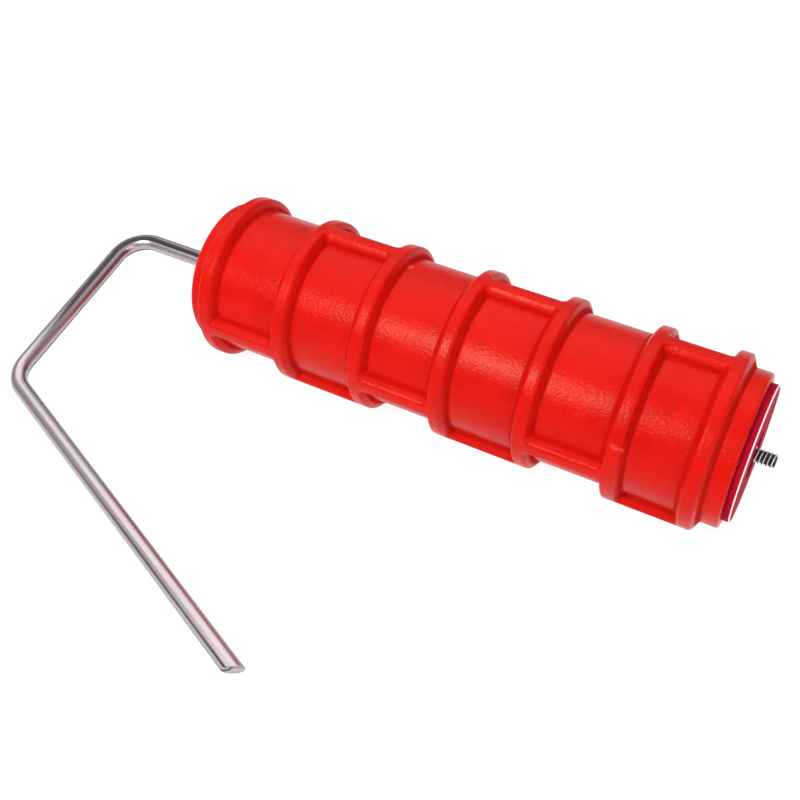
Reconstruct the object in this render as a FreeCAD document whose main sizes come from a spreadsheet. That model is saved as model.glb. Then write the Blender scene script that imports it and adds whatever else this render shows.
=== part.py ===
"""Pattern roller: a ribbed rubber sleeve on a tube core, turning on a bent wire frame.

Frame of the part: +Z up, +X along the roller towards the threaded end of the axle, -Y towards
the free end of the wire. The part stands on z = 0 on its ring ribs and on the wire's free end.
The wire lies in one plane, which is tilted about the axle until its free end meets the ground.
"""
import math
import os

import FreeCAD
import Part
import Sketcher
from FreeCAD import Placement, Rotation, Vector

doc = FreeCAD.newDocument("pattern_roller")
sheet = doc.addObject("Spreadsheet::Sheet", "Sizes")

COURSES = 6

DRIVING = [
    # pattern sleeve
    ("sleeve_length", 230.0),
    ("base_radius", 30.5),
    ("outer_radius", 35.0),
    ("rib_foot", 10.2),
    ("rib_top", 3.8),
    ("ring_pitch", 35.75),
    ("last_pitch", 29.8),
    ("first_ring", 9.9),
    ("upper_joint_angle", 101.0),
    ("block_angle", 213.0),
    ("rib_sink", 0.6),
    # core and end caps
    ("core_outer", 27.0),
    ("core_inner", 24.5),
    ("flange_thickness", 3.2),
    ("recess_radius", 10.0),
    ("recess_depth", 10.5),
    ("cap_wall", 6.0),
    ("bush_radius", 5.0),
    ("bush_flange_radius", 7.0),
    ("bush_flange_thickness", 1.2),
    ("running_clearance", 0.05),
    ("end_float", 0.3),
    # wire frame
    ("wire_radius", 3.5),
    ("axle_reach", 53.6),
    ("offset_arm", 87.3),
    ("return_arm", 169.5),
    ("return_angle", 23.7),
    ("bend_radius", 13.0),
    ("cut_angle", 35.0),
    ("stub_length", 8.0),
    ("thread_radius", 3.0),
    ("thread_pitch", 1.5),
    ("thread_depth", 0.7),
    ("thread_overcut", 0.2),
    ("thread_count", 11),
    # hardware on the axle
    ("washer_radius", 7.5),
    ("washer_gap", 0.2),
    ("washer_thickness", 1.2),
    ("nut_flats", 10.0),
    ("nut_hex_height", 5.0),
    ("nut_collar_radius", 4.6),
    ("nut_collar_height", 1.6),
    ("insert_radius", 3.9),
    ("collar_radius", 5.5),
    ("collar_width", 5.0),
    # how far cutting and joining shapes run past a face
    ("overlap", 0.5),
]
DERIVED = [
    ("tip_along", "=return_arm * cos(return_angle) - sleeve_length - axle_reach"),
    ("tip_out", "=offset_arm + return_arm * sin(return_angle)"),
    ("frame_tilt", "=asin((outer_radius - wire_radius) / tip_out)"),
    ("bend_setback", "=bend_radius * tan((90 - return_angle) / 2)"),
    ("stub_end", "=flange_thickness + stub_length"),
    ("left_seat", "=flange_thickness - sleeve_length"),
    ("wire_left", "=sleeve_length + axle_reach"),
    ("shift_along", "=(wire_left + wire_radius - stub_end) / 2"),
    ("cut_spare", "=2 * wire_radius"),
    ("cutter_half", "=3 * wire_radius"),
    ("end_slope", "=cos(return_angle) - tan(cut_angle) * sin(return_angle)"),
    ("end_reach", "=wire_radius * sqrt((end_slope * cos(frame_tilt))^2 + sin(frame_tilt)^2)"),
    ("wire_front", "=tip_out * cos(frame_tilt) + end_reach"),
    ("shift_across", "=(wire_front - outer_radius) / 2"),
    ("recess_floor", "=flange_thickness - recess_depth"),
    ("cap_back", "=recess_floor - cap_wall"),
    ("bush_bore", "=wire_radius + running_clearance"),
    ("bush_face", "=recess_floor + bush_flange_thickness"),
    ("washer_back", "=bush_face + end_float"),
    ("washer_face", "=washer_back + washer_thickness"),
    ("nut_hex_face", "=washer_face + nut_hex_height"),
]
for row, (alias, value) in enumerate(DRIVING + DERIVED, start=1):
    sheet.set(f"A{row}", alias)
    sheet.set(f"B{row}", str(value))
    sheet.setAlias(f"B{row}", alias)
doc.recompute()


def size(alias):
    """Return one cell's value as a plain number."""
    value = sheet.get(alias)
    return float(getattr(value, "Value", value))


def cell(expression):
    """Write an expression's aliases as references to the sheet."""
    names = {alias for alias, _ in DRIVING + DERIVED}
    words = []
    word = ""
    for letter in expression + " ":
        if letter.isalnum() or letter == "_":
            word += letter
            continue
        words.append(f"{sheet.Name}.{word}" if word in names else word)
        words.append(letter)
        word = ""
    return "".join(words).strip()


def value_of(expression):
    """Work out an expression of aliases, for a sketch's starting geometry."""
    value = sheet.evalExpression(cell(expression))
    return float(getattr(value, "Value", value))


def bind(item, prop, expression):
    """Drive one property of an object from the sheet."""
    item.setExpression(prop, cell(expression))


def place(item, angle=0.0):
    """Stand an object on the axle: its origin is the axle's point at the sleeve's right end."""
    item.Placement = Placement(Vector(0, 0, 0), Rotation(Vector(1, 0, 0), angle))
    bind(item, "Placement.Base.x", "shift_along")
    bind(item, "Placement.Base.y", "shift_across")
    bind(item, "Placement.Base.z", "outer_radius")


def new_body(name):
    """Make a body whose Label names its file."""
    item = doc.addObject("PartDesign::Body", name)
    item.Label = name
    return item


def new_sketch(owner, name, plane):
    """Attach an empty sketch to one of the body's own origin planes."""
    sketch = owner.newObject("Sketcher::SketchObject", name)
    support = next(f for f in owner.Origin.OriginFeatures if f.Role == plane)
    sketch.AttachmentSupport = [(support, "")]
    sketch.MapMode = "FlatFace"
    return sketch


def polygon(sketch, points):
    """Draw a closed outline and join its corners."""
    count = len(points)
    for index, start in enumerate(points):
        end = points[(index + 1) % count]
        sketch.addGeometry(Part.LineSegment(Vector(*start, 0), Vector(*end, 0)), False)
    for index in range(count):
        sketch.addConstraint(Sketcher.Constraint("Coincident", index, 2, (index + 1) % count, 1))


def locate(sketch, corners):
    """Bind each corner's two coordinates; corners holds one pair of expressions a corner."""
    for index, pair in enumerate(corners):
        for kind, expression in zip(("DistanceX", "DistanceY"), pair):
            point = sketch.getPoint(index, 1)
            value = point.x if kind == "DistanceX" else point.y
            number = sketch.addConstraint(Sketcher.Constraint(kind, -1, 1, index, 1, value))
            bind(sketch, f"Constraints[{number}]", expression)


def outline(owner, name, plane, corners):
    """Make a fully dimensioned closed outline from pairs of expressions."""
    sketch = new_sketch(owner, name, plane)
    points = [(value_of(x), value_of(y)) for x, y in corners]
    polygon(sketch, points)
    locate(sketch, corners)
    return sketch


def turn(owner, name, sketch, kind="PartDesign::Revolution"):
    """Revolve a sketch about the axle, which is the sketch's horizontal axis."""
    feature = owner.newObject(kind, name)
    feature.Profile = sketch
    feature.ReferenceAxis = (sketch, ["H_Axis"])
    feature.Angle = 360.0
    sketch.Visibility = False
    return feature


def ring(name, bore, radius, start, length):
    """Make a plain ring on the axle out of two cylinders."""
    outer = doc.addObject("Part::Cylinder", name + "_outer")
    inner = doc.addObject("Part::Cylinder", name + "_bore")
    for item, radius_from, extra in ((outer, radius, "0"), (inner, bore, "overlap")):
        item.Placement = Placement(Vector(0, 0, 0), Rotation(Vector(0, 1, 0), 90))
        bind(item, "Radius", radius_from)
        bind(item, "Height", f"{length} + 2 * {extra}")
        bind(item, "Placement.Base.x", f"{start} - {extra}")
    item = doc.addObject("Part::Cut", name)
    item.Base = outer
    item.Tool = inner
    item.Label = name
    place(item)
    return item


def frame_rod():
    """Bend the wire: axle, offset arm and return arm in one plane.

    The axle's end is turned down to a shoulder for the washer and threaded. The other end is cut
    obliquely, so the path runs on past the tip by a spare length that the cutter takes off.
    """
    item = new_body("frame_rod")
    left = -size("wire_left")
    radius = size("bend_radius")
    setback = size("bend_setback")
    angle = math.radians(size("return_angle"))
    corner = Vector(left, -size("offset_arm"), 0)
    along = Vector(math.cos(angle), -math.sin(angle), 0)
    tip = corner + along * (size("return_arm") + size("cut_spare"))
    first_centre = Vector(left + radius, -radius, 0)
    second_centre = corner + Vector(radius, setback, 0)
    z_axis = Vector(0, 0, 1)
    path = new_sketch(item, "rod_path", "XY_Plane")
    path.addGeometry(Part.LineSegment(Vector(size("stub_end"), 0, 0), Vector(left + radius, 0, 0)))
    path.addGeometry(Part.ArcOfCircle(Part.Circle(first_centre, z_axis, radius), math.pi / 2, math.pi))
    path.addGeometry(Part.LineSegment(Vector(left, -radius, 0), corner + Vector(0, setback, 0)))
    path.addGeometry(Part.ArcOfCircle(Part.Circle(second_centre, z_axis, radius),
                                      math.pi, 1.5 * math.pi - angle))
    path.addGeometry(Part.LineSegment(corner + along * setback, tip))
    joins = ((0, 2, 1, 1), (1, 2, 2, 1), (2, 2, 3, 1), (3, 2, 4, 1))
    for first, first_end, second, second_end in joins:
        path.addConstraint(Sketcher.Constraint("Tangent", first, first_end, second, second_end))
    path.addConstraint(Sketcher.Constraint("Horizontal", 0))
    path.addConstraint(Sketcher.Constraint("PointOnObject", 0, 1, -1))
    driven = (
        (Sketcher.Constraint("DistanceX", -1, 1, 0, 1, size("stub_end")), "stub_end"),
        (Sketcher.Constraint("Radius", 1, radius), "bend_radius"),
        (Sketcher.Constraint("Radius", 3, radius), "bend_radius"),
        (Sketcher.Constraint("DistanceX", 2, 1, -1, 1, -left), "wire_left"),
        (Sketcher.Constraint("DistanceY", 2, 2, -1, 1, size("offset_arm") - setback),
         "offset_arm - bend_setback"),
        (Sketcher.Constraint("Distance", 4, (tip - corner).Length - setback),
         "return_arm + cut_spare - bend_setback"),
        (Sketcher.Constraint("DistanceX", 4, 1, 4, 2, ((tip - corner).Length - setback) * along.x),
         "(return_arm + cut_spare - bend_setback) * cos(return_angle)"),
    )
    for constraint, expression in driven:
        number = path.addConstraint(constraint)
        bind(path, f"Constraints[{number}]", expression)
    section = new_sketch(item, "rod_section", "YZ_Plane")
    section.AttachmentOffset = Placement(Vector(0, 0, size("stub_end")), Rotation())
    bind(section, "AttachmentOffset.Base.z", "stub_end")
    section.addGeometry(Part.Circle(Vector(0, 0, 0), z_axis, size("wire_radius")))
    section.addConstraint(Sketcher.Constraint("Coincident", 0, 3, -1, 1))
    number = section.addConstraint(Sketcher.Constraint("Radius", 0, size("wire_radius")))
    bind(section, f"Constraints[{number}]", "wire_radius")
    pipe = item.newObject("PartDesign::AdditivePipe", "rod_pipe")
    pipe.Profile = section
    pipe.Spine = path
    doc.recompute()
    before = pipe.Shape.Volume
    cut = outline(item, "rod_cut", "XY_Plane", (
        ("0", "-cutter_half"), ("2 * cutter_half", "-cutter_half"),
        ("2 * cutter_half", "cutter_half"), ("0", "cutter_half")))
    cut.AttachmentOffset = Placement(Vector(0, 0, 0), Rotation(z_axis, 0))
    bind(cut, "AttachmentOffset.Base.x", "tip_along")
    bind(cut, "AttachmentOffset.Base.y", "-tip_out")
    bind(cut, "AttachmentOffset.Rotation.Angle", "-(return_angle + cut_angle)")
    pocket = item.newObject("PartDesign::Pocket", "rod_end")
    pocket.Profile = cut
    pocket.Midplane = True
    bind(pocket, "Length", "2 * cutter_half")
    doc.recompute()
    print("oblique cut removed", round(before - pocket.Shape.Volume, 2))
    before = pocket.Shape.Volume
    waste = outline(item, "stub_waste", "XY_Plane", (
        ("washer_back", "thread_radius"), ("stub_end + overlap", "thread_radius"),
        ("stub_end + overlap", "wire_radius + overlap"), ("washer_back", "wire_radius + overlap")))
    turn(item, "stub_turned_down", waste, "PartDesign::Groove")
    notch = outline(item, "thread_notch", "XY_Plane", (
        ("stub_end - thread_pitch", "thread_radius + thread_overcut"),
        ("stub_end - thread_pitch / 2", "thread_radius - thread_depth"),
        ("stub_end", "thread_radius + thread_overcut")))
    groove = turn(item, "thread_groove", notch, "PartDesign::Groove")
    pattern = item.newObject("PartDesign::LinearPattern", "thread")
    pattern.Originals = [groove]
    pattern.Direction = (notch, ["H_Axis"])
    pattern.Reversed = True
    bind(pattern, "Length", "thread_pitch * (thread_count - 1)")
    bind(pattern, "Occurrences", "thread_count")
    item.Tip = pattern
    doc.recompute()
    print("stub and thread removed", round(before - pattern.Shape.Volume, 2))
    place(item, size("frame_tilt"))
    bind(item, "Placement.Rotation.Angle", "frame_tilt")
    return item


def trapezoid(owner, name, plane):
    """Draw the rib's section, sunk a little into the sleeve so that it fuses."""
    return outline(owner, name, plane, (
        ("-rib_foot / 2", "base_radius - rib_sink"),
        ("rib_foot / 2", "base_radius - rib_sink"),
        ("rib_foot / 2", "base_radius"),
        ("rib_top / 2", "outer_radius"),
        ("-rib_top / 2", "outer_radius"),
        ("-rib_foot / 2", "base_radius")))


def pattern_sleeve():
    """Mould the sleeve: ring ribs mark the courses and short ribs part the blocks."""
    item = new_body("pattern_sleeve")
    tube = outline(item, "sleeve_section", "XY_Plane", (
        ("-sleeve_length", "core_outer"), ("0", "core_outer"),
        ("0", "base_radius"), ("-sleeve_length", "base_radius")))
    turn(item, "sleeve_tube", tube)
    centres = [f"first_ring + {index} * ring_pitch - sleeve_length" for index in range(COURSES)]
    centres.append(centres[-1] + " + last_pitch")
    for index, centre in enumerate(centres):
        section = trapezoid(item, f"ring_section_{index}", "XY_Plane")
        section.AttachmentOffset = Placement(Vector(0, 0, 0), Rotation())
        bind(section, "AttachmentOffset.Base.x", centre)
        turn(item, f"ring_rib_{index}", section)
    for course in range(COURSES):
        upper = "upper_joint_angle" if course % 2 else "upper_joint_angle - block_angle / 2"
        for side, joint in enumerate((upper, upper + " + block_angle")):
            section = trapezoid(item, f"joint_section_{course}_{side}", "YZ_Plane")
            section.AttachmentOffset = Placement(Vector(0, 0, 0), Rotation(Vector(0, 0, 1), 0))
            bind(section, "AttachmentOffset.Base.z", centres[course])
            bind(section, "AttachmentOffset.Rotation.Angle", f"90 - ({joint})")
            rib = item.newObject("PartDesign::Pad", f"joint_rib_{course}_{side}")
            rib.Profile = section
            bind(rib, "Length", f"({centres[course + 1]}) - ({centres[course]})")
            section.Visibility = False
    place(item)
    return item


def end_cap(name):
    """Turn a cap: a flange on the core's end, a plug in the core and a recess for the hardware."""
    item = new_body(name)
    section = outline(item, name + "_section", "XY_Plane", (
        ("cap_back", "bush_radius"), ("recess_floor", "bush_radius"),
        ("recess_floor", "recess_radius"), ("flange_thickness", "recess_radius"),
        ("flange_thickness", "core_outer"), ("0", "core_outer"),
        ("0", "core_inner"), ("cap_back", "core_inner")))
    turn(item, name + "_turned", section)
    return item


def bush(name):
    """Turn a flanged bush: the plain part fills the cap's bore, the flange takes the washer."""
    item = new_body(name)
    section = outline(item, name + "_section", "XY_Plane", (
        ("cap_back", "bush_bore"), ("bush_face", "bush_bore"),
        ("bush_face", "bush_flange_radius"), ("recess_floor", "bush_flange_radius"),
        ("recess_floor", "bush_radius"), ("cap_back", "bush_radius")))
    turn(item, name + "_turned", section)
    return item


def to_left_end(item):
    """Turn a right-hand piece about the vertical; the left cap's face is level with the sleeve."""
    item.Placement = Placement(Vector(0, 0, 0), Rotation(Vector(0, 0, 1), 180))
    bind(item, "Placement.Base.x", "shift_along + left_seat")
    bind(item, "Placement.Base.y", "shift_across")
    bind(item, "Placement.Base.z", "outer_radius")
    return item


def axle_nut():
    """Make the lock nut: a hexagon, a round collar that holds the insert, and a clear bore."""
    item = new_body("axle_nut")
    hexagon = new_sketch(item, "nut_hexagon", "YZ_Plane")
    corner = size("nut_flats") / math.sqrt(3)
    points = [(corner * math.cos(math.radians(60 * step)), corner * math.sin(math.radians(60 * step)))
              for step in range(6)]
    polygon(hexagon, points)
    hexagon.addGeometry(Part.Circle(Vector(0, 0, 0), Vector(0, 0, 1), corner), True)
    hexagon.addConstraint(Sketcher.Constraint("Coincident", 6, 3, -1, 1))
    for side in range(6):
        hexagon.addConstraint(Sketcher.Constraint("PointOnObject", side, 1, 6))
    for side in range(5):
        hexagon.addConstraint(Sketcher.Constraint("Equal", side, side + 1))
    hexagon.addConstraint(Sketcher.Constraint("PointOnObject", 0, 1, -1))
    number = hexagon.addConstraint(Sketcher.Constraint("Radius", 6, corner))
    bind(hexagon, f"Constraints[{number}]", "nut_flats / sqrt(3)")
    hexagon.AttachmentOffset = Placement(Vector(0, 0, 0), Rotation())
    bind(hexagon, "AttachmentOffset.Base.z", "washer_face")
    prism = item.newObject("PartDesign::Pad", "nut_prism")
    prism.Profile = hexagon
    bind(prism, "Length", "nut_hex_height")
    collar = outline(item, "nut_collar_section", "XY_Plane", (
        ("nut_hex_face - overlap", "thread_radius"),
        ("nut_hex_face + nut_collar_height", "thread_radius"),
        ("nut_hex_face + nut_collar_height", "nut_collar_radius"),
        ("nut_hex_face - overlap", "nut_collar_radius")))
    turn(item, "nut_collar", collar)
    doc.recompute()
    bore = outline(item, "nut_bore_section", "XY_Plane", (
        ("washer_face - overlap", "0"), ("nut_hex_face + nut_collar_height + overlap", "0"),
        ("nut_hex_face + nut_collar_height + overlap", "insert_radius"),
        ("nut_hex_face", "insert_radius"),
        ("nut_hex_face", "thread_radius"), ("washer_face - overlap", "thread_radius")))
    turn(item, "nut_bore", bore, "PartDesign::Groove")
    return item


pieces = [frame_rod(), pattern_sleeve()]
pieces.append(ring("core_tube", "core_inner", "core_outer", "left_seat", "-left_seat"))
right_pieces = [end_cap("end_cap_right"), bush("bush_right"), axle_nut()]
for piece in right_pieces:
    place(piece)
pieces += right_pieces
pieces += [to_left_end(end_cap("end_cap_left")), to_left_end(bush("bush_left"))]
pieces.append(ring("washer_right", "thread_radius + washer_gap", "washer_radius",
                   "washer_back", "washer_thickness"))
pieces.append(ring("washer_left", "wire_radius + washer_gap", "washer_radius",
                   "left_seat - washer_face", "washer_thickness"))
pieces.append(ring("stop_collar", "wire_radius", "collar_radius",
                   "left_seat - washer_face - collar_width", "collar_width"))
pieces.append(ring("nut_insert", "thread_radius", "insert_radius",
                   "nut_hex_face", "nut_collar_height"))
doc.recompute()

faults = [item.Name for item in doc.Objects if {"Invalid", "Error"} & set(item.State)]
faults += [piece.Label for piece in pieces if piece.Shape.isNull() or not piece.Shape.isValid()]
if faults:
    raise RuntimeError("failed objects: " + ", ".join(faults))

os.makedirs("parts", exist_ok=True)
for piece in pieces:
    piece.Shape.exportStep(f"parts/{piece.Label}.step")
    box = piece.Shape.BoundBox
    print(f"{piece.Label:15s} {piece.Shape.Volume:10.1f} mm3  x {box.XMin:8.2f} {box.XMax:8.2f}"
          f"  y {box.YMin:8.2f} {box.YMax:8.2f}  z {box.ZMin:7.2f} {box.ZMax:7.2f}"
          f"  solids {len(piece.Shape.Solids)}")
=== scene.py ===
"""Looks of the pattern roller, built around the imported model. Metres throughout."""
import math

import bmesh
import bpy
import numpy as np
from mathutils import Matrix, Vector


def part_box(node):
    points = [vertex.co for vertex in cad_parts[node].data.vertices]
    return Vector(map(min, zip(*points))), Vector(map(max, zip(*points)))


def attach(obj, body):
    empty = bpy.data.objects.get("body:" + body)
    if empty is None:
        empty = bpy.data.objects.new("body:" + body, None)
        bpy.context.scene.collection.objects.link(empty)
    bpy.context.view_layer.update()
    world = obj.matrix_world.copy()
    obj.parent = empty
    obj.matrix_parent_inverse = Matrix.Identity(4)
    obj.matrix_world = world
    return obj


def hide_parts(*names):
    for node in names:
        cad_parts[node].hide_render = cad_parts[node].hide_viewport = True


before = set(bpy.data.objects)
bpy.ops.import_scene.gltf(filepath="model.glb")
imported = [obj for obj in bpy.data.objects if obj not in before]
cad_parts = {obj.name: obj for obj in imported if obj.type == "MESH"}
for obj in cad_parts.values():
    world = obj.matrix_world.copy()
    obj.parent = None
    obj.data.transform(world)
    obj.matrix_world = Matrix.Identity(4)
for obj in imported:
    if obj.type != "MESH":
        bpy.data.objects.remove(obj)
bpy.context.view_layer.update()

MM = 0.001
SLACK = 0.01 * MM
sleeve_low, sleeve_high = (Vector(corner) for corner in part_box("pattern_sleeve"))
AXIS_Y = (sleeve_low.y + sleeve_high.y) / 2
AXIS_Z = (sleeve_low.z + sleeve_high.z) / 2
LEFT = sleeve_low.x
RIGHT = sleeve_high.x
OUTER = (sleeve_high.z - sleeve_low.z) / 2

# pattern sleeve
BASE = 30.5 * MM
CORE = 27.0 * MM
RIB_FOOT = 10.2 * MM
RIB_TOP = 3.8 * MM
RING_PITCH = 35.75 * MM
LAST_PITCH = 29.8 * MM
FIRST_RING = 9.9 * MM
COURSES = 6
UPPER_JOINT = math.radians(101.0)
BLOCK_ANGLE = math.radians(213.0)
AROUND = 300
CREASE_AT = RIB_FOOT / 2 - 0.7 * MM
CREASE_WIDTH = 0.6 * MM
CREASE_DEPTH = 0.10 * MM
LEFT_LIP = 2.2 * MM
RIGHT_LIP = 1.2 * MM
RIB_REACH = RIB_FOOT * 0.62
CREASE_STEPS = np.linspace(-1.0, 1.0, 9) * MM

# end caps, bushes and the hardware on the axle, measured out from the core's end
FLANGE = 3.2 * MM
RECESS_RADIUS = 10.0 * MM
RECESS_FLOOR = FLANGE - 10.5 * MM
CAP_BACK = RECESS_FLOOR - 6.0 * MM
PLUG_RADIUS = 24.5 * MM
RIM_ROUND = 0.5 * MM
BUSH_RADIUS = 5.0 * MM
BUSH_FLANGE = 7.0 * MM
BUSH_FACE = RECESS_FLOOR + 1.2 * MM
BUSH_CLEARANCE = 0.05 * MM
WASHER_BACK = BUSH_FACE + 0.3 * MM
WASHER_FACE = WASHER_BACK + 1.2 * MM
WASHER_RADIUS = 7.5 * MM
WASHER_GAP = 0.2 * MM
NUT_FLATS = 10.0 * MM
NUT_HEX_FACE = WASHER_FACE + 5.0 * MM
NUT_FACE = NUT_HEX_FACE + 1.6 * MM
NUT_COLLAR = 4.6 * MM
INSERT_RADIUS = 3.9 * MM
COLLAR_RADIUS = 5.5 * MM
COLLAR_WIDTH = 5.0 * MM

# wire frame
WIRE = 3.5 * MM
AXLE_REACH = 53.6 * MM
OFFSET_ARM = 87.3 * MM
RETURN_ARM = 169.5 * MM
RETURN_ANGLE = math.radians(23.7)
BEND = 13.0 * MM
CUT_ANGLE = math.radians(35.0)
STUB_END = FLANGE + 8.0 * MM
THREAD_RADIUS = 3.0 * MM
THREAD_PITCH = 1.5 * MM
THREAD_DEPTH = 0.7 * MM
END_MARGIN = 0.1 * MM
THREAD_TURNS = 11
THREAD_LENGTH = THREAD_TURNS * THREAD_PITCH
THREAD_RUN_OUT = 1.5 * THREAD_PITCH
THREAD_SLOPE = 1.25
TIP_SHARE = 0.72
TIP_LEAD = 0.8 * MM
SHOULDER_STEP = 0.02 * MM
SHEAR_SHRINK = 0.06
SHEAR_ROUND = 0.15 * MM
TIP_OUT = OFFSET_ARM + RETURN_ARM * math.sin(RETURN_ANGLE)
TILT = math.asin((OUTER - WIRE) / TIP_OUT)


# ---------------------------------------------------------------- mesh helpers
def grid_piece(name, rows, closed, material):
    """Skin rows of points that each run round the piece; closed joins the last row to the first."""
    rows = np.asarray(rows, dtype=float)
    count, around, _ = rows.shape
    mesh = bpy.data.meshes.new(name)
    faces = []
    spans = count if closed else count - 1
    for row in range(spans):
        start = row * around
        after = ((row + 1) % count) * around
        for column in range(around):
            side = (column + 1) % around
            faces.append((start + column, start + side, after + side, after + column))
    if not closed:
        faces.append(tuple(reversed(range(around))))
        faces.append(tuple(range((count - 1) * around, count * around)))
    mesh.from_pydata(rows.reshape(-1, 3).tolist(), [], faces)
    layer = mesh.uv_layers.new(name="UVMap")
    steps = np.linalg.norm(np.diff(rows.mean(axis=1), axis=0), axis=1)
    along = np.concatenate([[0.0], np.cumsum(steps)])
    for polygon in mesh.polygons:
        corners = [mesh.loops[index].vertex_index for index in polygon.loop_indices]
        wraps = any(c % around == 0 for c in corners) and any(c % around == around - 1 for c in corners)
        for index, corner in zip(polygon.loop_indices, corners):
            turn = (corner % around) / around
            if wraps and corner % around == 0 and len(corners) == 4:
                turn = 1.0
            layer.data[index].uv = (along[corner // around], turn)
    mesh.validate()
    piece = bpy.data.objects.new(name, mesh)
    bpy.context.scene.collection.objects.link(piece)
    mesh.materials.append(material)
    mesh.shade_smooth()
    return piece


def set_facing(piece):
    """Point all normals outward."""
    shell = bmesh.new()
    shell.from_mesh(piece.data)
    bmesh.ops.recalc_face_normals(shell, faces=shell.faces)
    shell.to_mesh(piece.data)
    shell.free()


def rounded(outline, radii, steps=5):
    """Replace each corner of a closed outline by an arc of its own radius."""
    result = []
    count = len(outline)
    for index in range(count):
        corner = Vector(outline[index])
        before = Vector(outline[index - 1]) - corner
        after = Vector(outline[(index + 1) % count]) - corner
        radius = radii[index] if isinstance(radii, (list, tuple)) else radii
        half = before.angle(after) / 2
        setback = min(radius / math.tan(half), before.length * 0.45, after.length * 0.45)
        radius = setback * math.tan(half)
        if radius < SLACK:
            result.append(tuple(corner))
            continue
        start = corner + before.normalized() * setback
        end = corner + after.normalized() * setback
        middle = before.normalized() + after.normalized()
        centre = corner + middle.normalized() * (radius / math.sin(half))
        for step in range(steps + 1):
            spoke = (start - centre).lerp(end - centre, step / steps)
            result.append(tuple(centre + spoke.normalized() * radius))
    return result


def turned(name, outline, radii, material, end, around=96, limit=None):
    """Turn a closed outline of (distance out from the core's end, radius) about the axle.

    end is +1 for the threaded end and -1 for the other one. limit(angle) caps the radius.
    """
    origin = RIGHT if end > 0 else LEFT + FLANGE
    rows = []
    for out, radius in rounded(outline, radii):
        row = []
        for index in range(around):
            angle = 2 * math.pi * index / around
            reach = radius if limit is None else min(radius, limit(angle))
            row.append((origin + end * out,
                        AXIS_Y + reach * math.cos(angle),
                        AXIS_Z + reach * math.sin(angle)))
        rows.append(row)
    piece = grid_piece(name, rows, True, material)
    set_facing(piece)
    return piece


def smooth_by_angle(piece, degrees):
    """Keep edges sharper than an angle crisp."""
    with bpy.context.temp_override(object=piece, active_object=piece,
                                   selected_objects=[piece], selected_editable_objects=[piece]):
        bpy.ops.object.shade_smooth_by_angle(angle=math.radians(degrees))


# ---------------------------------------------------------------- materials
def new_material(name, colour, roughness, metallic=0.0):
    """Start a node material and return it with its tree and shader."""
    material = bpy.data.materials.new(name)
    material.use_nodes = True
    tree = material.node_tree
    shader = tree.nodes["Principled BSDF"]
    shader.inputs["Base Color"].default_value = (*colour, 1.0)
    shader.inputs["Roughness"].default_value = roughness
    shader.inputs["Metallic"].default_value = metallic
    return material, tree, shader


def add(tree, kind, **settings):
    """Add a node and set its properties and inputs by name."""
    node = tree.nodes.new(kind)
    for key, value in settings.items():
        if hasattr(node, key):
            setattr(node, key, value)
        else:
            node.inputs[key.replace("_", " ")].default_value = value
    return node


def noise(tree, scale, detail=3.0, source="Object", stretch=None):
    """Noise in object space, or along a wire in UV space with its own stretch."""
    where = tree.nodes.new("ShaderNodeTexCoord")
    texture = add(tree, "ShaderNodeTexNoise", Scale=scale, Detail=detail)
    if stretch is None:
        tree.links.new(where.outputs[source], texture.inputs["Vector"])
        return texture.outputs["Fac"]
    mapping = tree.nodes.new("ShaderNodeMapping")
    mapping.inputs["Scale"].default_value = stretch
    tree.links.new(where.outputs[source], mapping.inputs["Vector"])
    tree.links.new(mapping.outputs["Vector"], texture.inputs["Vector"])
    return texture.outputs["Fac"]


def ramp(tree, fac, low, high, first, second):
    """Map a factor between two limits onto two grey values or two colours."""
    node = tree.nodes.new("ShaderNodeValToRGB")
    node.color_ramp.elements[0].position = low
    node.color_ramp.elements[1].position = high
    for element, value in zip(node.color_ramp.elements, (first, second)):
        element.color = (*value, 1.0) if isinstance(value, tuple) else (value, value, value, 1.0)
    tree.links.new(fac, node.inputs["Fac"])
    return node.outputs["Color"]


def blend(tree, factor, first, second, mode="MIX"):
    """Mix two colours; each of the three may be a value or another node's output."""
    node = tree.nodes.new("ShaderNodeMix")
    node.data_type = "RGBA"
    node.blend_type = mode
    for name, value in (("Factor", factor), ("A", first), ("B", second)):
        socket = next(s for s in node.inputs if s.name == name and s.enabled)
        if isinstance(value, (tuple, float)):
            socket.default_value = value
        else:
            tree.links.new(value, socket)
    return next(s for s in node.outputs if s.enabled)


def bump(tree, shader, layers):
    """Stack bump layers, each of a height, a strength and a distance."""
    normal = None
    for height, strength, distance in layers:
        node = add(tree, "ShaderNodeBump", Strength=strength, Distance=distance)
        tree.links.new(height, node.inputs["Height"])
        if normal is not None:
            tree.links.new(normal, node.inputs["Normal"])
        normal = node.outputs["Normal"]
    tree.links.new(normal, shader.inputs["Normal"])


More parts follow.
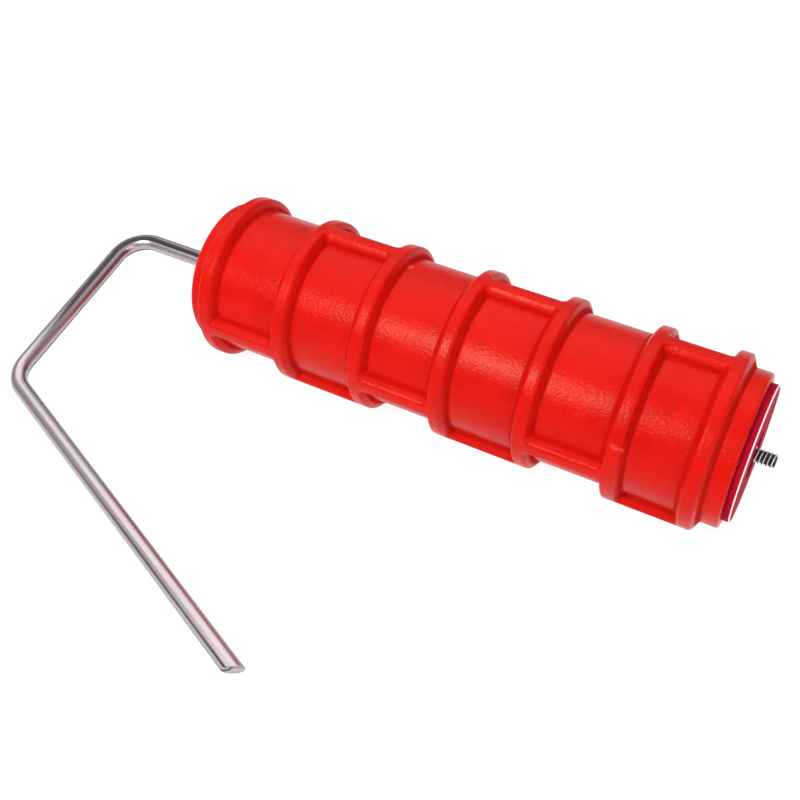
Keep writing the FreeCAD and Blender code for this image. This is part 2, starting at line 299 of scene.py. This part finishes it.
def rubber_material():
    """Red moulded rubber: satin and mottled, with fine ripples, painted shade darkening its creases, and
    a few scuffs.
    """
    material, tree, shader = new_material("red_rubber", (0.80, 0.006, 0.0015), 0.40)
    broad = ramp(tree, noise(tree, 45.0, 5.0), 0.3, 0.72, (0.54, 0.0025, 0.0008), (0.62, 0.004, 0.001))
    small = ramp(tree, noise(tree, 210.0, 4.0), 0.3, 0.72, (0.90, 0.90, 0.90), (1.0, 1.0, 1.0))
    colour = blend(tree, 1.0, broad, small, "MULTIPLY")
    scuffs = ramp(tree, noise(tree, 70.0, 5.0, stretch=(0.5, 1.0, 1.0)), 0.72, 0.78, 0.0, 1.0)
    colour = blend(tree, scuffs, colour, (0.85, 0.10, 0.07, 1.0))
    line = add(tree, "ShaderNodeAttribute", attribute_name="crease")
    # painted shade: along the crease line at the rib feet the base colour is darkened towards deep red,
    # standing in for the shade in the creases
    depth = ramp(tree, line.outputs["Fac"], 0.1, 1.0, 0.0, 0.50)
    colour = blend(tree, depth, colour, (0.30, 0.002, 0.001, 1.0))
    tree.links.new(colour, shader.inputs["Base Color"])
    rough = ramp(tree, noise(tree, 90.0, 5.0), 0.3, 0.75, 0.27, 0.38)
    dull = ramp(tree, line.outputs["Fac"], 0.02, 0.5, 0.0, 1.0)
    rough = blend(tree, dull, rough, (1.0, 1.0, 1.0, 1.0))
    tree.links.new(rough, shader.inputs["Roughness"])
    shader.inputs["Specular IOR Level"].default_value = 0.14
    shader.inputs["Specular Tint"].default_value = (1.0, 0.80, 0.60, 1.0)
    ripples = noise(tree, 900.0, 3.0, stretch=(0.75, 1.0, 1.0))
    bump(tree, shader, ((noise(tree, 55.0, 2.0), 0.25, 0.5 * MM),
                        (ripples, 0.45, 0.36 * MM)))
    return material


def wire_material():
    """Bright drawn steel wire: fine lines along it, and dark streaks in its colour that are painted
    reflections of dark surroundings.
    """
    material, tree, shader = new_material("bright_wire", (0.56, 0.48, 0.51), 0.26, 1.0)
    lines = noise(tree, 1.0, 4.0, "UV", (40.0, 60.0, 1.0))
    dark_reflection_streaks = noise(tree, 1.0, 1.0, "UV", (4.0, 7.0, 1.0))
    tree.links.new(ramp(tree, lines, 0.3, 0.8, 0.24, 0.40), shader.inputs["Roughness"])
    # painted reflection: near-black streaks along the wire in the base colour stand in for the dark
    # surroundings the bright wire reflects
    tree.links.new(ramp(tree, dark_reflection_streaks, 0.36, 0.44, (0.05, 0.045, 0.05), (0.47, 0.405, 0.43)),
                   shader.inputs["Base Color"])
    bump(tree, shader, ((lines, 0.12, 0.05 * MM),))
    return material


def zinc_material(name, light, dark):
    """Plated steel hardware: slightly blotchy and less bright than the wire."""
    material, tree, shader = new_material(name, light, 0.34, 1.0)
    blotch = noise(tree, 600.0, 4.0)
    tree.links.new(ramp(tree, blotch, 0.3, 0.75, light, dark), shader.inputs["Base Color"])
    tree.links.new(ramp(tree, blotch, 0.3, 0.75, 0.26, 0.45), shader.inputs["Roughness"])
    bump(tree, shader, ((blotch, 0.15, 0.05 * MM),))
    return material


def plastic_material(name, light, dark, roughness, grain, specular=0.5):
    """Moulded plastic with a fine grain and a slight shift of tone."""
    material, tree, shader = new_material(name, light, roughness)
    tone = noise(tree, 60.0, 3.0)
    tree.links.new(ramp(tree, tone, 0.3, 0.75, light, dark), shader.inputs["Base Color"])
    fine = noise(tree, grain, 3.0)
    tree.links.new(ramp(tree, fine, 0.3, 0.75, roughness - 0.06, roughness + 0.08),
                   shader.inputs["Roughness"])
    shader.inputs["Specular IOR Level"].default_value = specular
    bump(tree, shader, ((fine, 0.15, 0.06 * MM),))
    return material


def floor_material():
    """Bright seamless paper that also glows, so that it stays white under the object."""
    material, tree, shader = new_material("pale_floor", (0.22, 0.22, 0.22), 0.75)
    fine = noise(tree, 400.0, 4.0)
    tree.links.new(ramp(tree, fine, 0.3, 0.7, (0.19, 0.19, 0.19), (0.17, 0.17, 0.17)),
                   shader.inputs["Base Color"])
    shader.inputs["Specular IOR Level"].default_value = 0.1
    shader.inputs["Emission Color"].default_value = (1.0, 1.0, 1.0, 1.0)
    shader.inputs["Emission Strength"].default_value = 0.90
    return material


# ---------------------------------------------------------------- pattern sleeve
def rib_height(distance):
    """Height of a rib, 0 to 1, at a distance from its middle: soft foot, smooth shoulder."""
    slope = (RIB_FOOT - RIB_TOP) / 2
    t = np.clip((RIB_FOOT / 2 - np.abs(distance)) / slope, 0.0, 1.0)
    return t * t * (3 - 2 * t)


def ring_centres():
    """Middles of the seven ring ribs, measured from the sleeve's left end."""
    centres = [FIRST_RING + index * RING_PITCH for index in range(COURSES)]
    centres.append(centres[-1] + LAST_PITCH)
    return centres


def crease(distance):
    """Strength, 0 to 1, of the fine line along a rib's foot."""
    return np.exp(-((np.abs(distance) - CREASE_AT) / CREASE_WIDTH) ** 2)


def sleeve_stations(centres, length):
    """Distances along the sleeve: close together on the ribs, wider on the panels."""
    stations = [0.0, length]
    for centre in centres:
        stations += list(centre + np.linspace(-RIB_REACH, RIB_REACH, 25))
        for side in (-1, 1):
            stations += list(centre + side * CREASE_AT + CREASE_STEPS)
    edges = [0.0] + centres + [length]
    for start, end in zip(edges, edges[1:]):
        if end - start > 2 * RIB_REACH:
            stations += list(np.linspace(start + RIB_REACH, end - RIB_REACH, 9)[1:-1])
    turn = 1 - np.cos(np.linspace(0.0, math.pi / 2, 10))
    stations += list(LEFT_LIP * turn) + list(length - RIGHT_LIP * turn)
    return np.unique(np.round(np.array(stations), 5))


def sleeve_angles():
    """Angles round the sleeve: even steps, closer together at the feet of the short ribs."""
    angles = list(np.arange(AROUND) * 2 * math.pi / AROUND)
    for half_blocks in (-1, 0, 1, 2):
        joint = UPPER_JOINT + half_blocks * BLOCK_ANGLE / 2
        for side in (-1, 1):
            angles += list(joint + (side * CREASE_AT + CREASE_STEPS) / BASE)
    return np.unique(np.round(np.array(angles) % (2 * math.pi), 4))


def sleeve_surface(along, angle, centres, length):
    """Radius of the moulded surface and strength of its creases, at one distance along."""
    ring = max(rib_height(along - centre) for centre in centres)
    ring_line = max(crease(along - centre) for centre in centres)
    short = np.zeros_like(angle)
    short_line = np.zeros_like(angle)
    for course in range(COURSES):
        if not centres[course] <= along <= centres[course + 1]:
            continue
        upper = UPPER_JOINT if course % 2 else UPPER_JOINT - BLOCK_ANGLE / 2
        for joint in (upper, upper + BLOCK_ANGLE):
            gap = (angle - joint + math.pi) % (2 * math.pi) - math.pi
            short = np.maximum(short, rib_height(gap * BASE))
            short_line = np.maximum(short_line, crease(gap * BASE))
    height = 1 - (1 - ring) * (1 - short)
    line = np.maximum(ring_line * (1 - short) ** 2, short_line * (1 - ring) ** 2)
    lip = LEFT_LIP if along < length / 2 else RIGHT_LIP
    short_of_lip = max(lip - min(along, length - along), 0.0)
    drop = lip - math.sqrt(lip ** 2 - short_of_lip ** 2)
    return BASE - drop + (OUTER - BASE) * height - CREASE_DEPTH * line, line


def pattern_sleeve(material):
    """Build the sleeve as rows of points: moulded outside, end faces and bore."""
    length = RIGHT - LEFT
    centres = ring_centres()
    angle = sleeve_angles()
    rows = []
    lines = []
    for along in sleeve_stations(centres, length):
        radius, line = sleeve_surface(along, angle, centres, length)
        lines.append(line)
        rows.append(np.stack([np.full_like(angle, LEFT + along),
                              AXIS_Y - radius * np.cos(angle),
                              AXIS_Z + radius * np.sin(angle)], axis=1))
    for along in (length, length / 2, 0.0):
        lines.append(np.zeros_like(angle))
        rows.append(np.stack([np.full_like(angle, LEFT + along),
                              AXIS_Y - CORE * np.cos(angle),
                              AXIS_Z + CORE * np.sin(angle)], axis=1))
    piece = grid_piece("rubber_sleeve", rows, True, material)
    # the crease strength is kept as an attribute; the rubber material darkens its base colour along it as
    # painted shade and dulls its roughness
    layer = piece.data.attributes.new("crease", "FLOAT", "POINT")
    layer.data.foreach_set("value", np.concatenate(lines).astype(np.float32))
    set_facing(piece)
    smooth_by_angle(piece, 60)
    return piece


# ---------------------------------------------------------------- wire frame
def frame_point(along, out):
    """A point in the wire's plane: along the axle from the sleeve's right end, and out from it."""
    return Vector((RIGHT + along, AXIS_Y - out * math.cos(TILT), AXIS_Z - out * math.sin(TILT)))


def wire_path():
    """Centre line in the wire's plane as (along, out, direction angle) stations."""
    left = -(RIGHT - LEFT) - AXLE_REACH
    setback = BEND * math.tan((math.pi / 2 - RETURN_ANGLE) / 2)
    shoulder = WASHER_BACK - SHOULDER_STEP
    thread = STUB_END - np.linspace(0.0, THREAD_LENGTH, THREAD_TURNS * 12 + 1)
    stations = [(x, 0.0, math.pi) for x in thread]
    stations.append((WASHER_BACK, 0.0, math.pi))
    stations += [(x, 0.0, math.pi) for x in np.linspace(shoulder, left + BEND, 40)]
    for turn in np.linspace(0.0, math.pi / 2, 17)[1:]:
        stations.append((left + BEND - BEND * math.sin(turn), BEND - BEND * math.cos(turn),
                         math.pi - turn))
    stations += [(left, out, math.pi / 2) for out in np.linspace(BEND, OFFSET_ARM - setback, 14)[1:]]
    for turn in np.linspace(0.0, math.pi / 2 - RETURN_ANGLE, 13)[1:]:
        stations.append((left + BEND - BEND * math.cos(turn),
                         OFFSET_ARM - setback + BEND * math.sin(turn), math.pi / 2 - turn))
    for reach in np.linspace(setback, RETURN_ARM, 30)[1:]:
        stations.append((left + reach * math.cos(RETURN_ANGLE),
                         OFFSET_ARM + reach * math.sin(RETURN_ANGLE), RETURN_ANGLE))
    return stations


def axle_radius(along, angle):
    """Radius of the axle: plain wire up to the shoulder, then a neck and a helical thread."""
    if along < WASHER_BACK:
        return WIRE
    depth = STUB_END - along
    if depth >= THREAD_LENGTH:
        return THREAD_RADIUS
    phase = (depth / THREAD_PITCH + angle / (2 * math.pi)) % 1.0
    groove = 1.0 - abs(2 * phase - 1)
    fade = min(1.0, (THREAD_LENGTH - depth) / THREAD_RUN_OUT)
    lead = min(1.0, TIP_SHARE + (1 - TIP_SHARE) * depth / TIP_LEAD)
    return (THREAD_RADIUS - THREAD_DEPTH * fade * min(1.0, THREAD_SLOPE * groove)) * lead


def frame_wire(material, thread_materials):
    """Sweep the wire along its path, with a helical thread whose crests and grooves carry painted
    highlight and shade, and an oblique sheared end.
    """
    around = 48
    normal = Vector((0.0, -math.sin(TILT), math.cos(TILT)))
    rows = []
    stations = wire_path()
    tan_cut = math.tan(CUT_ANGLE)
    for along, out, heading in stations:
        centre = frame_point(along, out)
        ahead = frame_point(along + math.cos(heading) * MM, out + math.sin(heading) * MM) - centre
        ahead.normalize()
        side = normal.cross(ahead)
        last = (along, out, heading) == stations[-1]
        row = []
        for index in range(around):
            angle = 2 * math.pi * index / around
            radius = axle_radius(along, angle) if out == 0.0 else WIRE
            spoke = side * (radius * math.cos(angle)) + normal * (radius * math.sin(angle))
            point = centre + spoke
            if last:
                point += ahead * (radius * math.cos(angle) * tan_cut)
            row.append(tuple(point))
        rows.append(row)
        if last:
            rows.append([tuple(Vector(p).lerp(centre, SHEAR_SHRINK) + ahead * SHEAR_ROUND) for p in row])
    piece = grid_piece("bent_wire", rows, False, material)
    for extra in thread_materials:
        piece.data.materials.append(extra)
    for polygon in piece.data.polygons:
        beyond = polygon.center.x - RIGHT
        if beyond < WASHER_BACK:
            continue
        out = math.hypot(polygon.center.y - AXIS_Y, polygon.center.z - AXIS_Z)
        # painted shade and highlight: faces deep in the groove take near-black steel, the rest of the
        # thread a paler steel
        in_groove = out < THREAD_RADIUS - THREAD_DEPTH / 2 and beyond < STUB_END - END_MARGIN
        polygon.material_index = 2 if in_groove else 1
    set_facing(piece)
    smooth_by_angle(piece, 40)
    return piece


# ---------------------------------------------------------------- caps and hardware
def hexagon(angle):
    """Distance from the axis to the nut's flats, at an angle."""
    sector = math.pi / 3
    return NUT_FLATS / 2 / math.cos((angle + sector / 2) % sector - sector / 2)


def end_cap(name, material, rim_highlight_material, end):
    """A moulded cap: flange, plug and recess; the flange's rounded rim takes a pale material as a painted
    highlight.
    """
    outline = [(CAP_BACK, BUSH_RADIUS), (RECESS_FLOOR, BUSH_RADIUS), (RECESS_FLOOR, RECESS_RADIUS),
               (FLANGE, RECESS_RADIUS), (FLANGE, CORE), (0.0, CORE),
               (0.0, PLUG_RADIUS), (CAP_BACK, PLUG_RADIUS)]
    radii = [0.2 * MM, 0.2 * MM, 0.6 * MM, RIM_ROUND, RIM_ROUND, 0.2 * MM, 0.1 * MM, 0.6 * MM]
    piece = turned(name, outline, radii, material, end, around=192)
    piece.data.materials.append(rim_highlight_material)
    # painted highlight: the polygons of the rounded rim round the flange face take the pale material,
    # standing in for the light that edge catches
    face_at = RIGHT + FLANGE if end > 0 else LEFT
    for polygon in piece.data.polygons:
        out = math.hypot(polygon.center.y - AXIS_Y, polygon.center.z - AXIS_Z)
        if out > CORE - RIM_ROUND and SLACK < abs(face_at - polygon.center.x) < RIM_ROUND - SLACK:
            polygon.material_index = 1
    smooth_by_angle(piece, 40)
    return piece


def bush(name, material, end):
    """A flanged plastic bush."""
    bore = WIRE + BUSH_CLEARANCE
    outline = [(CAP_BACK, bore), (BUSH_FACE, bore), (BUSH_FACE, BUSH_FLANGE),
               (RECESS_FLOOR, BUSH_FLANGE), (RECESS_FLOOR, BUSH_RADIUS), (CAP_BACK, BUSH_RADIUS)]
    piece = turned(name, outline, 0.15 * MM, material, end)
    smooth_by_angle(piece, 40)
    return piece


def washer(name, shank, material, end):
    """A punched washer with rounded rims, a little larger inside than the shank it sits on."""
    bore = shank + WASHER_GAP
    outline = [(WASHER_BACK, bore), (WASHER_FACE, bore),
               (WASHER_FACE, WASHER_RADIUS), (WASHER_BACK, WASHER_RADIUS)]
    piece = turned(name, outline, 0.25 * MM, material, end)
    smooth_by_angle(piece, 40)
    return piece


def lock_nut(material):
    """A hexagon nut with chamfered corners and a rolled collar."""
    corner = NUT_FLATS / math.sqrt(3)
    face_radius = NUT_FLATS / 2 * 0.96
    bevel = 0.5 * MM
    outline = [(WASHER_FACE, THREAD_RADIUS), (NUT_HEX_FACE, THREAD_RADIUS), (NUT_HEX_FACE, INSERT_RADIUS),
               (NUT_FACE, INSERT_RADIUS), (NUT_FACE, NUT_COLLAR), (NUT_HEX_FACE, NUT_COLLAR),
               (NUT_HEX_FACE, face_radius), (NUT_HEX_FACE - bevel, corner),
               (WASHER_FACE + bevel, corner), (WASHER_FACE, face_radius)]
    piece = turned("lock_nut", outline, 0.12 * MM, material, 1, around=144, limit=hexagon)
    smooth_by_angle(piece, 25)
    return piece


def plain_ring(name, start, end_at, bore, radius, edge, material, end):
    """A short ring on the axle."""
    outline = [(start, bore), (end_at, bore), (end_at, radius), (start, radius)]
    piece = turned(name, outline, edge, material, end)
    smooth_by_angle(piece, 40)
    return piece


def stand_for(piece, node, body):
    """Let a detailed piece stand for its CAD node."""
    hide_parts(node)
    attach(piece, body)


# ---------------------------------------------------------------- stage
def add_floor():
    """A pale floor under the object."""
    bpy.ops.mesh.primitive_plane_add(size=12.0, location=(0.0, 0.0, 0.0))
    floor = bpy.context.object
    floor.name = "floor"
    floor.data.materials.append(floor_material())


def add_area(name, direction, distance, size, power, target):
    """A rectangular soft light that points at the object from a direction."""
    data = bpy.data.lights.new(name, "AREA")
    data.shape = "RECTANGLE"
    data.size, data.size_y = size
    data.energy = power
    light = bpy.data.objects.new(name, data)
    bpy.context.scene.collection.objects.link(light)
    light.location = target + Vector(direction).normalized() * distance
    light.rotation_euler = (target - light.location).to_track_quat("-Z", "Y").to_euler()


def add_world():
    """A white studio whose walls are greyer near the horizon, so that bright metal has edges."""
    world = bpy.data.worlds.new("studio")
    bpy.context.scene.world = world
    world.use_nodes = True
    tree = world.node_tree
    where = tree.nodes.new("ShaderNodeTexCoord")
    split = tree.nodes.new("ShaderNodeSeparateXYZ")
    tree.links.new(where.outputs["Generated"], split.inputs["Vector"])
    shade = ramp(tree, split.outputs["Z"], 0.22, 0.45, (0.45, 0.45, 0.45), (1.0, 1.0, 1.0))
    background = tree.nodes["Background"]
    tree.links.new(shade, background.inputs["Color"])
    background.inputs["Strength"].default_value = 0.60


def add_camera():
    """The camera, placed from the sleeve's threaded end on the axle."""
    offset = Vector((21.8, -309.8, 301.1)) * MM
    azimuth = math.radians(28.4)
    elevation = math.radians(44.15)
    data = bpy.data.cameras.new("camera")
    data.sensor_width = 36.0
    data.lens = 50.23
    data.clip_start = 0.01
    camera = bpy.data.objects.new("camera", data)
    bpy.context.scene.collection.objects.link(camera)
    camera.location = Vector((RIGHT, AXIS_Y, AXIS_Z)) + offset
    camera.rotation_euler = (math.pi / 2 - elevation, 0.0, azimuth)
    bpy.context.scene.camera = camera


# ---------------------------------------------------------------- build
rubber = rubber_material()
wire = wire_material()
zinc = zinc_material("plated_steel", (0.68, 0.69, 0.70), (0.50, 0.51, 0.53))
# lit and shaded copies of the thread's steel: the pale crests are painted highlight, the near-black
# grooves painted shade
thread_steels = (zinc_material("thread_crests_painted_highlight", (0.90, 0.88, 0.89), (0.62, 0.60, 0.61)),
                 zinc_material("thread_grooves_painted_shade", (0.08, 0.08, 0.08), (0.02, 0.02, 0.02)))
cap_plastic = plastic_material("dark_red_plastic", (0.42, 0.004, 0.024), (0.33, 0.003, 0.018), 0.55,
                               700.0, 0.01)
# pale material for the cap rim: a painted highlight, not the plastic's own colour
cap_edge = plastic_material("cap_rim_painted_highlight", (0.92, 0.84, 0.82), (0.88, 0.66, 0.66), 0.35, 500.0)
nylon = plastic_material("pale_nylon", (0.78, 0.76, 0.70), (0.68, 0.66, 0.60), 0.42, 800.0)
core_plastic = plastic_material("core_plastic", (0.70, 0.68, 0.62), (0.60, 0.58, 0.52), 0.5, 500.0)

stand_for(pattern_sleeve(rubber), "pattern_sleeve", "roller")
stand_for(frame_wire(wire, thread_steels), "frame_rod", "frame")
for side, end, shank in (("left", -1, WIRE), ("right", 1, THREAD_RADIUS)):
    stand_for(end_cap(f"cap_{side}", cap_plastic, cap_edge, end), f"end_cap_{side}", "roller")
    stand_for(bush(f"axle_bush_{side}", nylon, end), f"bush_{side}", "roller")
    stand_for(washer(f"plain_washer_{side}", shank, zinc, end), f"washer_{side}", "frame")
stand_for(lock_nut(zinc), "axle_nut", "frame")
insert = plain_ring("locking_insert", NUT_HEX_FACE, NUT_FACE, THREAD_RADIUS, INSERT_RADIUS,
                    0.15 * MM, nylon, 1)
stand_for(insert, "nut_insert", "frame")
collar = plain_ring("crimped_collar", WASHER_FACE, WASHER_FACE + COLLAR_WIDTH, WIRE, COLLAR_RADIUS,
                    0.6 * MM, zinc, -1)
stand_for(collar, "stop_collar", "frame")
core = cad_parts["core_tube"]
core.data.materials.clear()
core.data.materials.append(core_plastic)

middle = Vector(((LEFT + RIGHT) / 2, AXIS_Y, AXIS_Z))
add_floor()
add_world()
add_area("key", (-0.25, -0.71, 0.63), 0.9, (0.16, 0.20), 5.4, middle)
add_area("top", (-0.3, 0.3, 1.0), 1.1, (1.4, 1.0), 5.8, middle)
add_area("fill", (0.80, -0.40, 0.36), 0.9, (0.6, 0.6), 2.4, middle)
add_camera()
bpy.context.scene.view_settings.view_transform = "Standard"
